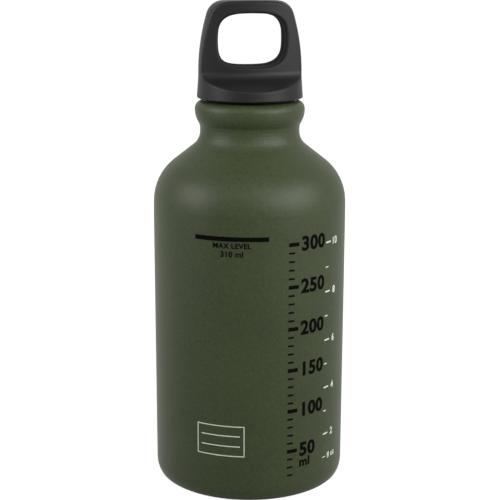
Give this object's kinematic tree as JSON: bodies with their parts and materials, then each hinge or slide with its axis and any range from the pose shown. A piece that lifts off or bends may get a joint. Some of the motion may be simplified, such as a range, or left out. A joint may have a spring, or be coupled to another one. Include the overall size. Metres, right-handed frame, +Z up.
{
  "type": "camping fuel bottle",
  "caption": "Round-shouldered aluminium fuel bottle with a waisted neck and a black press-and-turn screw cap that ends in a carrying loop.",
  "frame": {"origin": "centre of the standing face under the bottle", "axes": "+Z up along the bottle's axis; the carrying loop lies along X and its opening runs along Y"},
  "size_m": [0.068, 0.068, 0.1701],
  "materials": {
    "powder_coated_aluminium": "olive-green fine-textured matte powder coat",
    "cap_plastic": "black moulded, satin",
    "plug_plastic": "black moulded, matte",
    "seal_rubber": "black nitrile rubber",
    "spring_steel": "bright drawn"
  },
  "bodies": {
    "bottle": {"bottle_shell": "powder_coated_aluminium"},
    "seal": {"sealing_ring": "seal_rubber"},
    "plug": {"threaded_plug": "plug_plastic", "retaining_ring": "spring_steel", "return_spring": "spring_steel"},
    "washer": {"thrust_washer": "spring_steel"},
    "cap": {"cap_shell": "cap_plastic"}
  },
  "joints": [
    {"name": "cap_rise", "type": "slide", "parent": "bottle", "child": "seal", "axis": [0, 0, 1], "range_m": [0, 0.0193]},
    {"name": "cap_turn", "type": "hinge", "parent": "seal", "child": "plug", "pos_m": [0, 0, 0.136], "axis": [0, 0, 1], "range_deg": [0, 2160]},
    {"name": "cap_press", "type": "slide", "parent": "plug", "child": "washer", "axis": [0, 0, -1], "range_m": [0, 0.0007], "stiffness_N_per_m": 3000, "springref_m": -0.001, "deforming": ["return_spring"]},
    {"name": "cap_spin", "type": "hinge", "parent": "washer", "child": "cap", "pos_m": [0, 0, 0.136], "axis": [0, 0, 1], "continuous": true}
  ],
  "couplings": [
    {"joint": "cap_rise", "follows": "cap_turn", "m_per_rad": 0.0005093}
  ]
}
